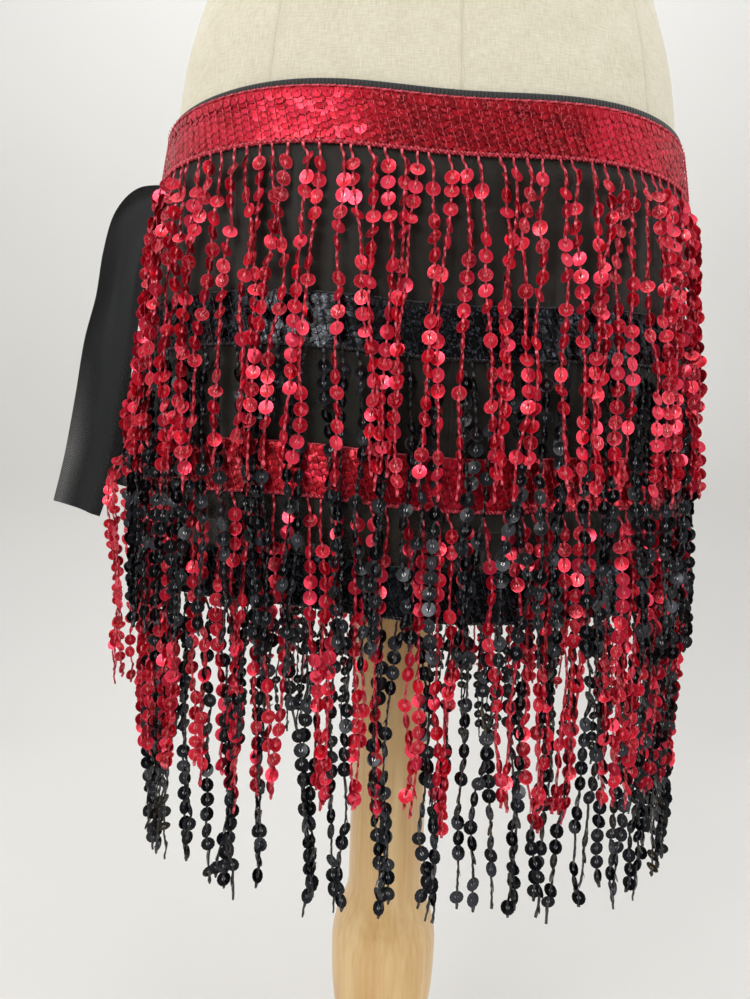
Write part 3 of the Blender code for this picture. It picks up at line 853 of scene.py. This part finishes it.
def make_band(settings, tier):
    """Woven tape with rows of overlapping sequins, held by a leaning line of stitches each."""
    top, bottom, _ = TIERS[tier]
    top = top + 0.0016 if tier == 0 else top
    rng = np.random.default_rng(100 + tier)
    slot = finishes()[tier % 2]["name"]
    columns = np.linspace(0.02, CLOTH_COLUMNS - 0.02, CLOTH_COLUMNS * 4 + 1)
    heights = np.linspace(bottom + 0.0004, top - 0.0004, 7)
    outer, _ = hang(columns[None], heights[:, None], 0.0010)
    inner, _ = hang(columns[None], heights[:, None], 0.0003)
    points, groups = shell(outer, inner, (0.99, top - bottom))
    tape = settle(add_mesh(f"band_{tier + 1}_tape", points, groups, look(tier, "thread"),
                           sharp_angle=60), slot, f"band_{tier + 1}")

    count, rows = settings.columns, settings.rows
    lean = settings.lean / COLUMN_PITCH
    line = np.linspace(-lean, CLOTH_COLUMNS + lean, count + 3)[:, None]
    row = np.arange(rows)[None]
    low, high = bottom + 0.0032, top - 0.0030
    heights = high - (high - low) * (row / (rows - 1)) + line * 0
    heights = heights + np.where(np.arange(count + 3)[:, None] % 2 == 0, 0.0, 0.0019)
    columns = line + lean * (row / (rows - 1) - 0.5)
    jitter = rng.normal(size=(2, *columns.shape))
    inside = (columns > 0.2) & (columns < CLOTH_COLUMNS - 0.2)
    columns, heights = (columns + jitter[0] * 0.012)[inside], (heights + jitter[1] * 0.0002)[inside]
    heights = np.clip(heights, low - 0.0006, top - 0.0037)
    places, rights, ups, outs = across_band(columns, heights, 0.0017)
    nod = settings.tilt + rng.normal(size=len(places)) * math.radians(1.8)
    yaw = rng.normal(size=len(places)) * math.radians(2.2)
    nod, yaw = nod[:, None], yaw[:, None]
    normals = unit(outs + np.tan(yaw) * rights + np.tan(nod) * ups)
    rights = unit(rights - np.sum(rights * normals, -1, keepdims=True) * normals)
    ups = np.cross(normals, rights)
    shape, faces, flat = scale_sequin(settings.sequin_radius)
    points, groups = copies(shape, faces, flat, places, rights, ups, normals)
    # Painted reflections: lighter and darker runs along the band stand in for the room that the
    # sequins mirror.
    reflection_patch = 0.45 + 0.3 * np.sin(columns * 0.9 + tier) * np.sin(columns * 0.37 + 2 * tier)
    if tier == 0:
        x, y = places[:, 0], places[:, 1]
        # On the first band's front a middle span is painted dark, a painted reflection of the dark
        # room; the sides stay light.
        dark_reflection = smooth_step(x, -0.045, -0.010) * (1 - smooth_step(x, 0.085, 0.100)) * (y < 0)
        reflection_patch = 0.78 - 0.5 * dark_reflection
    tone = np.clip(reflection_patch + rng.normal(size=len(places)) * 0.14, 0, 1)
    sewn = settle(add_mesh(f"band_{tier + 1}_sequins", points, groups, look(tier, "scale"),
                           tone=np.repeat(tone, len(shape)), sharp_angle=30), slot)

    line = np.linspace(0.35, CLOTH_COLUMNS - 0.35, count)
    steps = 17
    share = np.linspace(0, 1, steps)[None]
    zigzag = np.where(np.arange(steps) % 2 == 0, 1.0, -1.0)[None]
    columns = line[:, None] + lean * (share - 0.5) + zigzag * 0.014
    columns = np.clip(columns, 0.08, CLOTH_COLUMNS - 0.08)
    heights = top - 0.001 - (top - bottom - 0.002) * share
    path, rights, ups, outs = across_band(columns, heights, 0.0027 + zigzag * 0.0003)
    points, groups = tubes(path[:, ::-1], rights[:, ::-1], outs[:, ::-1], 0.00027, 3,
                           lengths=0.029)
    stitches = settle(add_mesh(f"band_{tier + 1}_stitches", points, groups,
                               look(tier, "thread")), slot)

    cords = [(top - 0.0008, 0.0014, 0.0007, 500), (bottom + 0.0005, 0.0014, 0.0013, 240)]
    made = []
    for name, (height, out, radius, turns) in zip(("top", "heading"), cords):
        columns = np.linspace(0.02, CLOTH_COLUMNS - 0.02, turns * 4 if turns < 300 else 900)
        path, rights, ups, outs = across_band(columns, np.full_like(columns, height), out)
        if name == "top":
            points, groups = tubes(path[None], ups[None], outs[None],
                                   radius * (1 + 0.25 * np.sin(np.arange(len(path)) * 2.1)), 4,
                                   twist=0.8, lengths=0.98)
        else:
            points, groups = rope(path, ups, outs, radius, turns)
        made.append(settle(add_mesh(f"band_{tier + 1}_{name}_cord", points, groups,
                                    look(tier, "thread")), slot))
    return [tape, sewn, stitches, *made]


def strand_reach(tier, height):
    """How far out of the cloth's face the strands hang at a height."""
    _, root, tip = TIERS[tier]
    if tier == len(TIERS) - 1:
        return np.full_like(height, 0.0014)
    top, bottom, _ = TIERS[tier + 1]
    free = tier == len(TIERS) - 2
    below = OVER_BAND if free else OVER_HEADING
    end = OVER_BAND if free else OVER_FRINGE
    return np.interp(height, (tip, bottom, top, root), (end, below, OVER_BAND, 0.0014))


def make_fringe(settings, tier):
    """Twisted threads that hang from a band's heading, strung with round sequins."""
    _, root, tip = TIERS[tier]
    rng = np.random.default_rng(200 + tier)
    slot = finishes()[tier % 2]["name"]
    count = settings.strands * CLOTH_COLUMNS
    steps = 70
    share = np.linspace(0, 1, steps)
    start = (np.arange(count) + 0.5) / settings.strands
    start = start + rng.normal(size=count) * 0.06
    reach = root - tip + rng.normal(size=count) * 0.004 + 0.003
    edge = np.clip(1 - (start - 0.25) / 1.8, 0, 1) if tier == 2 else np.zeros(count)
    reach = reach + 0.018 * edge
    number = int((np.max(reach) - settings.first) / settings.pitch) + 1
    spot = settings.first + settings.pitch * np.arange(number)[None]
    spot = spot + rng.normal(size=(count, number)) * 0.0004 + rng.uniform(0, 0.004, count)[:, None]
    inside = spot < reach[:, None] - 0.006
    end = np.where(rng.random(count) < 0.15, 0.009, rng.uniform(0.001, 0.004, count))
    length = np.max(spot * inside, axis=1) + settings.sequin_radius + end
    along = share[None] * length[:, None]

    modes = np.arange(1, 7)
    phase = rng.uniform(0, 2 * math.pi, (count, len(modes)))
    size = rng.normal(size=(count, len(modes))) / modes ** 0.8 * settings.stray * 0.5
    sway = np.sum(size[..., None] * np.sin(
        modes[None, :, None] * math.pi * share + phase[..., None]), axis=1)
    sway = sway - sway[:, :1]
    gather = 5.5 * np.sin(start * 1.9 + tier) + 4.2 * np.sin(start * 4.7 + 2 * tier)
    gather = (gather + rng.normal(size=count) * 3.0) * MM
    lean = 0.0022 + rng.normal(size=count) * 0.0012
    side = sway * smooth_step(along, 0, 0.05) + gather[:, None] * share ** 1.25
    side = side + lean[:, None] * smooth_step(along, 0, 0.008)
    columns = start[:, None] + side / COLUMN_PITCH
    if tier == 1:
        columns = columns + share * 2.4 * np.clip(1 - start / 6, 0, 1)[:, None]
    columns = np.clip(columns, 0.06, CLOTH_COLUMNS - 0.06)
    heights = root - 0.0008 - along

    first_wave = rng.uniform(0.06, 0.15, count)[:, None]
    next_wave = rng.uniform(0.025, 0.06, count)[:, None]
    offset = rng.uniform(0, 2 * math.pi, (2, count, 1))
    spin = 1.25 * np.sin(2 * math.pi * along / first_wave + offset[0])
    spin = spin + 0.75 * np.sin(2 * math.pi * along / next_wave + offset[1])
    layer = rng.uniform(0, 0.002, count)[:, None] * smooth_step(along, 0.01, 0.06)
    proud = 0.0008 + 0.0024 * np.abs(np.sin(spin)) * smooth_step(along, 0.0, 0.012)
    out = strand_reach(tier, heights) + proud + layer
    out = out + 0.026 * edge[:, None] * smooth_step(along, 0, 0.03)
    if tier >= 2:
        inward = (0.005, 0.012)[tier - 2] * np.clip(1 - start / 7, 0, 1)[:, None]
        out = out - inward * smooth_step(heights, HEM + 0.002, HEM - 0.07)
    kept = 0.0 if tier == len(TIERS) - 1 else FLARE_KEPT
    path, outward = hang(columns, heights, out, kept)

    downs = unit(np.gradient(path, axis=1))
    ups = -downs
    rights = unit(np.cross(ups, outward))
    outs = np.cross(rights, ups)
    knot = np.exp(-((along - (length - end)[:, None]) / 0.0012) ** 2)
    radius = settings.thread_radius * (1 + 0.12 * rng.normal(size=path.shape[:2]) + 0.9 * knot)
    points, groups = tubes(path, rights, outs, radius, 3, twist=math.pi / 3, lengths=length)
    groups = [(faces[:, ::-1], places[:, ::-1]) for faces, places in groups]
    threads = settle(add_mesh(f"fringe_{tier + 1}_threads", points, groups,
                              look(tier, "thread"), sharp_angle=80),
                     slot, f"fringe_{tier + 1}")

    strand = np.broadcast_to(np.arange(count)[:, None], spot.shape)[inside]
    place = (spot / length[:, None] * (steps - 1))[inside]
    cell = np.clip(place.astype(int), 0, steps - 2)
    part = (place - cell)[:, None]

    def picked(values):
        return values[strand, cell] * (1 - part) + values[strand, cell + 1] * part

    centres = picked(path)
    ups = unit(picked(ups))
    outs = unit(picked(outs))
    rights = np.cross(ups, outs)
    turn = picked(spin[..., None]) + rng.normal(size=(len(cell), 1)) * 0.16
    nod = 0.19 + rng.normal(size=(len(cell), 1)) * 0.13
    normals = np.cos(turn) * outs + np.sin(turn) * rights
    rights = np.cos(turn) * rights - np.sin(turn) * outs
    normals, ups = np.cos(nod) * normals + np.sin(nod) * ups, np.cos(nod) * ups - np.sin(nod) * normals
    shape, faces, flat = threaded_sequin(settings.sequin_radius)
    points, groups = copies(shape, faces, flat, centres, rights, ups, normals)
    tone = rng.beta(1.6, 1.9, len(cell)) + (rng.normal(size=count) * 0.08)[strand]
    sequins = settle(add_mesh(f"fringe_{tier + 1}_sequins", points, groups, look(tier, "film"),
                              tone=np.repeat(np.clip(tone, 0, 1), len(shape)), sharp_angle=35),
                     slot)
    return [threads, sequins]


def make_tail(settings, name, track, folds, node, cloth):
    """Hanging end of the tie, softly folded along its length, with a turned end."""
    rows = 90
    place = np.linspace(0, len(track) - 1, rows)
    order = np.arange(len(track), dtype=float)
    line = np.stack([curve_through(place, order, track[:, axis]) for axis in range(4)], -1)
    run = unit(np.gradient(line[:, :3] * (1, 0, 1), axis=0))
    across = np.stack([-run[:, 2], np.zeros(rows), run[:, 0]], -1)
    share = np.linspace(0, 1, 61)
    fold = curve_through(share * 6, np.arange(7, dtype=float), folds)
    along = np.linspace(0, 1, rows)[:, None]
    depth = 0.5 + 0.5 * along
    ripple = 0.0007 * np.sin(share[None] * 9 + 7 * along + 1.3) * np.sin(13 * along + 1)
    sideways = across[:, None] * ((share[None] - 0.5) * line[:, 3:4])[..., None]
    front = line[:, None, :3] + sideways
    front[..., 1] += fold * depth + ripple
    ways = np.cross(np.gradient(front, axis=0), np.gradient(front, axis=1))
    ways = unit(ways)
    wall = settings.wall * (0.5 + 0.5 * smooth_step(along, 0.976, 0.98))[..., None]
    outer = front + ways * wall
    inner = front - ways * wall
    length = float(np.sum(np.linalg.norm(np.diff(line[:, :3], axis=0), axis=1)))
    width = float(np.mean(np.sum(np.linalg.norm(np.diff(front, axis=1), axis=2), axis=1)))
    points, groups = shell(outer, inner, (width, length))
    made = add_mesh(name, points, groups, cloth, sharp_angle=60)
    settle(made, "chiffon", node)
    return made


def make_knot(cloth):
    """Knot of gathered cloth with one end wrapped over it."""
    centre = np.array(KNOT)
    out = unit(np.array([-0.93, 0.36, 0.0]))
    along = np.array([0.36, 0.93, 0.0]) / np.hypot(0.36, 0.93)
    up = np.array([0.0, 0.0, 1.0])
    rings, sides = 26, 40
    rise = np.linspace(0, math.pi, rings)[1:-1, None]
    turn = np.arange(sides)[None] / sides * 2 * math.pi
    pleat = 1 + 0.035 * np.sin(11 * turn + 2.2 * rise) - 0.1 * np.cos(turn) ** 8 * np.sin(rise)
    x = np.cos(turn) * np.sin(rise) * pleat * KNOT_RADII[0] * 0.97
    y = np.sin(turn) * np.sin(rise) * pleat * KNOT_RADII[1] * 0.97
    z = -np.cos(rise) * KNOT_RADII[2] * 0.97 + turn * 0
    ball = centre + x[..., None] * along + y[..., None] * -out * -1 + z[..., None] * up
    poles = np.array([centre - up * KNOT_RADII[2] * 0.97, centre + up * KNOT_RADII[2] * 0.97])
    points = np.concatenate([ball.reshape(-1, 3), poles])
    faces, places = grid_faces(rings - 2, sides, wrap=True, size=(0.1, 0.05))
    low = len(points) - 2
    first = np.arange(sides)
    after = (first + 1) % sides
    last = (rings - 3) * sides
    tips = np.concatenate([
        np.stack([np.full(sides, low), after, first], -1),
        np.stack([np.full(sides, low + 1), last + first, last + after], -1)])
    flip = np.dot(np.cross(along, out), up) < 0
    groups = [(faces, places), (tips, np.zeros((len(tips), 3, 2)))]
    if flip:
        groups = [(faces[:, ::-1], places[:, ::-1]) for faces, places in groups]
    core = settle(add_mesh("tie_knot_core", points, groups, cloth), "chiffon", "tie_knot")

    steps, sides = 48, 22
    angle = np.arange(steps) / steps * 2 * math.pi
    lean = along * 0.35
    path = centre + np.cos(angle)[:, None] * (up * KNOT_RADII[2] * 0.98 + lean * 0.012) \
        + np.sin(angle)[:, None] * out * KNOT_RADII[1] * 0.98
    tangent = unit(np.roll(path, -1, axis=0) - np.roll(path, 1, axis=0))
    away = unit(path - centre)
    wide = np.cross(tangent, away)
    turn = np.arange(sides) / sides * 2 * math.pi
    crease = 1 + 0.16 * np.sin(4 * turn + 0.6)[None] * np.ones((steps, 1))
    ring = path[:, None] + wide[:, None] * (np.cos(turn)[None] * 0.0075)[..., None] \
        + away[:, None] * (np.sin(turn)[None] * 0.0024 * crease)[..., None]
    faces, places = grid_faces(steps + 1, sides, wrap=True, size=(0.03, 0.1))
    faces = faces % (steps * sides)
    probe = ring[0, sides // 4] - path[0]
    across_probe = np.cross(ring[0, 1] - ring[0, 0], ring[1, 0] - ring[0, 0])
    if np.dot(across_probe, ring[0, 0] - path[0]) < 0:
        faces, places = faces[:, ::-1], places[:, ::-1]
    loop = settle(add_mesh("tie_knot_wrap", ring, [(faces, places)], cloth), "chiffon")
    return core, loop


def make_lead(name, node, column, cloth):
    """Gathered end of the waist edging that runs into the knot."""
    centre = np.array(KNOT)
    along = np.array([0.36, 0.93, 0.0]) / np.hypot(0.36, 0.93)
    side = -1 if column == 0 else 1
    toward = 1 if column == 0 else -1
    heights = KNOT[2] + np.linspace(-0.011, 0.011, 25)
    root, outs = hang(float(column), heights, 0.0003)
    root = root - along * 0.0008 * toward * 0
    grip = centre - along * KNOT_RADII[0] * 0.80 * toward * direction(root, centre, along)
    share = np.linspace(0, 1, 14)[:, None, None]
    rise = np.linspace(-1, 1, 25)
    end = grip + rise[:, None] * np.array([0, 0, 0.0065])
    pleat = 0.0011 * np.sin(np.arange(25) * 1.55)
    middle = root[None] * (1 - share) + end[None] * share
    middle = middle + outs[None] * (pleat[None, :, None] * np.sin(share * math.pi * 0.9 + 0.2))
    across = np.gradient(middle, axis=0)
    ways = unit(np.cross(across, np.gradient(middle, axis=1)))
    points, groups = shell(middle + ways * 0.0007, middle - ways * 0.0007, (0.02, 0.03))
    made = add_mesh(name, points, groups, cloth, sharp_angle=60)
    return settle(made, "chiffon", node)


def direction(root, centre, along):
    """1 where the knot lies further along than the root, else -1, turned to face it."""
    return 1.0 if np.dot(centre - root[len(root) // 2], along) > 0 else -1.0


def make_tie(settings):
    """Knot at the left hip with its two leads and hanging ends."""
    # The tie's streaks paint the light and shade of its broad folds.
    cloth = sheer("tie_cloth", colour(4, 4, 5), colour(42, 45, 47), settings.opacity, 0.1,
                  (34, 6), sheen=0.05, thin_end=(0.19, 0.25))
    core, loop = make_knot(cloth)
    leads = [make_lead("tie_lead_front_cloth", "tie_lead_front", 0, cloth),
             make_lead("tie_lead_back_cloth", "tie_lead_back", CLOTH_COLUMNS, cloth)]
    make_tail(settings, "tie_tail_front_cloth", FRONT_TAIL, TAIL_FOLDS, "tie_tail_front", cloth)
    make_tail(settings, "tie_tail_back_cloth", BACK_TAIL, TAIL_FOLDS * 0.9, "tie_tail_back", cloth)
    return [core, loop, *leads]


def add_light(name, place, aim, size, power, tint):
    data = bpy.data.lights.new(name, "AREA")
    data.shape = "RECTANGLE"
    data.size, data.size_y = size
    data.energy = power
    data.color = tint
    made = bpy.data.objects.new(name, data)
    bpy.context.collection.objects.link(made)
    made.location = place
    away = np.subtract(place, aim)
    made.rotation_euler = Vector(away).to_track_quat("Z", "Y").to_euler()
    return made


def make_stage(settings):
    """Pale floor that curves up into a wall, soft lights and the camera."""
    depth, lift, bend = 1.25, 2.6, 0.45
    turn = np.linspace(0, math.pi / 2, 16)
    curve = np.stack([depth - bend + bend * np.sin(turn), bend - bend * np.cos(turn)], -1)
    profile = np.concatenate([[(-2.2, 0.0)], curve, [(depth, lift)]])
    sides = np.array([-2.4, 2.4])
    points = np.stack([
        np.broadcast_to(sides[None], (len(profile), 2)),
        np.broadcast_to(profile[:, :1], (len(profile), 2)),
        np.broadcast_to(profile[:, 1:], (len(profile), 2))], -1)
    faces, places = grid_faces(len(profile), 2, size=(4.8, 5.0))
    sweep = add_mesh("studio_sweep", points, [(faces, places)], wall_paint(settings.wall))

    aim = (0.0, 0.0, 0.60)
    lights = [
        add_light("key_light", (-1.1, -1.7, 1.7), aim, (1.1, 0.8), settings.key, (1, 0.99, 0.97)),
        add_light("fill_light", (1.5, -1.3, 1.0), aim, (1.0, 1.2), settings.fill, (0.97, 0.98, 1)),
        add_light("top_light", (0.0, -0.1, 2.3), aim, (1.6, 1.2), settings.fill, (1, 1, 1)),
        add_light("wall_light", (0.0, 0.35, 2.1), (0, 1.25, 0.9), (2.4, 0.5), settings.back,
                  (1, 1, 1)),
    ]

    world = bpy.data.worlds.new("studio_light")
    world.use_nodes = True
    tree = world.node_tree
    back = tree.nodes["Background"]
    way = Wire(tree, tree.nodes.new("ShaderNodeTexCoord").outputs["Generated"])
    split = tree.nodes.new("ShaderNodeSeparateXYZ")
    put(tree, split.inputs[0], way)
    _, front, up = [Wire(tree, socket) for socket in split.outputs]
    open_room = front.between(-0.8, -0.25)
    light = open_room.maths("MAXIMUM", open_room, up.between(0.35, 0.85))
    put(tree, back.inputs["Color"], 0.1 + light * 0.9)
    back.inputs["Strength"].default_value = settings.world
    bpy.context.scene.world = world

    data = bpy.data.cameras.new("photo_camera")
    data.sensor_fit = "VERTICAL"
    data.sensor_height = 24.0
    data.lens = 18.018
    data.clip_start = 0.01
    camera = bpy.data.objects.new("photo_camera", data)
    bpy.context.collection.objects.link(camera)
    tilt = Matrix.Rotation(math.radians(90 - 5.45), 4, "X")
    roll = Matrix.Rotation(math.radians(1.9), 4, "Z")
    camera.rotation_euler = (tilt @ roll).to_euler()
    camera.location = (-0.0168, -0.526, 0.585)
    bpy.context.scene.camera = camera
    bpy.context.scene.view_settings.view_transform = "Standard"


# ---------------------------------------------------------------- operators

class SKIRT_OT_form(bpy.types.Operator):
    """Build the linen hip form and its wooden stand"""

    bl_idname = "skirt.form"
    bl_label = "Form and stand"

    def execute(self, context):
        make_form(context.scene.skirt_form)
        make_stand(context.scene.skirt_form)
        return {"FINISHED"}


class SKIRT_OT_wrap(bpy.types.Operator):
    """Build the sheer wrap and its edges"""

    bl_idname = "skirt.wrap"
    bl_label = "Wrap"

    def execute(self, context):
        make_wrap(context.scene.skirt_cloth)
        return {"FINISHED"}


class SKIRT_OT_bands(bpy.types.Operator):
    """Build the four sequin bands"""

    bl_idname = "skirt.bands"
    bl_label = "Sequin bands"

    def execute(self, context):
        for tier in range(len(TIERS)):
            make_band(context.scene.skirt_band, tier)
        return {"FINISHED"}


class SKIRT_OT_fringes(bpy.types.Operator):
    """Build the four fringes of threaded sequins"""

    bl_idname = "skirt.fringes"
    bl_label = "Fringes"

    def execute(self, context):
        for tier in range(len(TIERS)):
            make_fringe(context.scene.skirt_fringe, tier)
        return {"FINISHED"}


class SKIRT_OT_tie(bpy.types.Operator):
    """Build the tie"""

    bl_idname = "skirt.tie"
    bl_label = "Tie"

    def execute(self, context):
        make_tie(context.scene.skirt_tie)
        return {"FINISHED"}


class SKIRT_OT_stage(bpy.types.Operator):
    """Build the floor, wall, lights and camera"""

    bl_idname = "skirt.stage"
    bl_label = "Stage"

    def execute(self, context):
        make_stage(context.scene.skirt_stage)
        return {"FINISHED"}


class SKIRT_PT_panel(bpy.types.Panel):
    """Lists the skirt's pieces and their sizes"""

    bl_label = "Hip skirt"
    bl_idname = "SKIRT_PT_panel"
    bl_space_type = "VIEW_3D"
    bl_region_type = "UI"
    bl_category = "Hip skirt"

    def draw(self, context):
        for operator, group in STEPS:
            box = self.layout.box()
            box.operator(operator.bl_idname)
            settings = getattr(context.scene, group)
            for name in settings.__annotations__:
                box.prop(settings, name)


STEPS = (
    (SKIRT_OT_form, "skirt_form"),
    (SKIRT_OT_wrap, "skirt_cloth"),
    (SKIRT_OT_bands, "skirt_band"),
    (SKIRT_OT_fringes, "skirt_fringe"),
    (SKIRT_OT_tie, "skirt_tie"),
    (SKIRT_OT_stage, "skirt_stage"),
)
GROUPS = {
    "skirt_form": FormSettings,
    "skirt_cloth": ClothSettings,
    "skirt_band": BandSettings,
    "skirt_fringe": FringeSettings,
    "skirt_tie": TieSettings,
    "skirt_stage": StageSettings,
}
CLASSES = (*GROUPS.values(), *(step[0] for step in STEPS), SKIRT_PT_panel)


def register():
    for made in CLASSES:
        bpy.utils.register_class(made)
    for name, group in GROUPS.items():
        setattr(bpy.types.Scene, name, bpy.props.PointerProperty(type=group))


def unregister():
    for name in GROUPS:
        delattr(bpy.types.Scene, name)
    for made in reversed(CLASSES):
        bpy.utils.unregister_class(made)


def main():
    register()
    bpy.ops.skirt.form()
    bpy.ops.skirt.wrap()
    bpy.ops.skirt.bands()
    bpy.ops.skirt.fringes()
    bpy.ops.skirt.tie()
    bpy.ops.skirt.stage()


if __name__ == "__main__":
    main()
